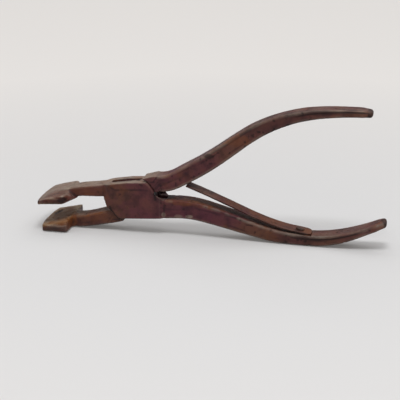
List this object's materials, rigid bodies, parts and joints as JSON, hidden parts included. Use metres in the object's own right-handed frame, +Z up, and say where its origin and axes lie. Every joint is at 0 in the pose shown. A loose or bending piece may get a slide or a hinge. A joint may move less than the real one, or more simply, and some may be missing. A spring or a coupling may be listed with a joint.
{
  "type": "nippers",
  "caption": "Hand-forged box-jointed nippers with broad wedge-shaped jaws and a riveted leaf spring that holds the curved handles open",
  "frame": {"origin": "on the surface that the tool stands on, midway along its length and on its middle plane", "axes": "+X towards the handles, +Y across the tool's thickness, +Z up"},
  "size_m": [0.2019, 0.032, 0.0797],
  "materials": {
    "forged_steel": "forged carbon steel under a thin, even dark brown rust, dull, with fine pitting",
    "hard_facing": "tool steel facing, brown with orange rust, worn smooth along its edges",
    "rivet_steel": "soft steel, peened and filed, brown and slightly polished by handling",
    "spring_steel": "tempered spring steel, grey-brown, smooth, with darker edges"
  },
  "bodies": {
    "box_half": {"box_lever": "forged_steel", "upper_jaw_bit": "hard_facing", "pivot_rivet": "rivet_steel", "return_spring": "spring_steel", "spring_rivet": "rivet_steel"},
    "through_half": {"through_lever": "forged_steel", "lower_jaw_bit": "hard_facing"}
  },
  "joints": [
    {"name": "jaw_pivot", "type": "hinge", "parent": "box_half", "child": "through_half", "pos_m": [-0.0444, 0, 0.0197], "axis": [0, 1, 0], "range_deg": [0, 12.4], "stiffness_Nm_per_rad": 1.7, "springref_deg": -14.32, "deforming": ["return_spring"]}
  ]
}
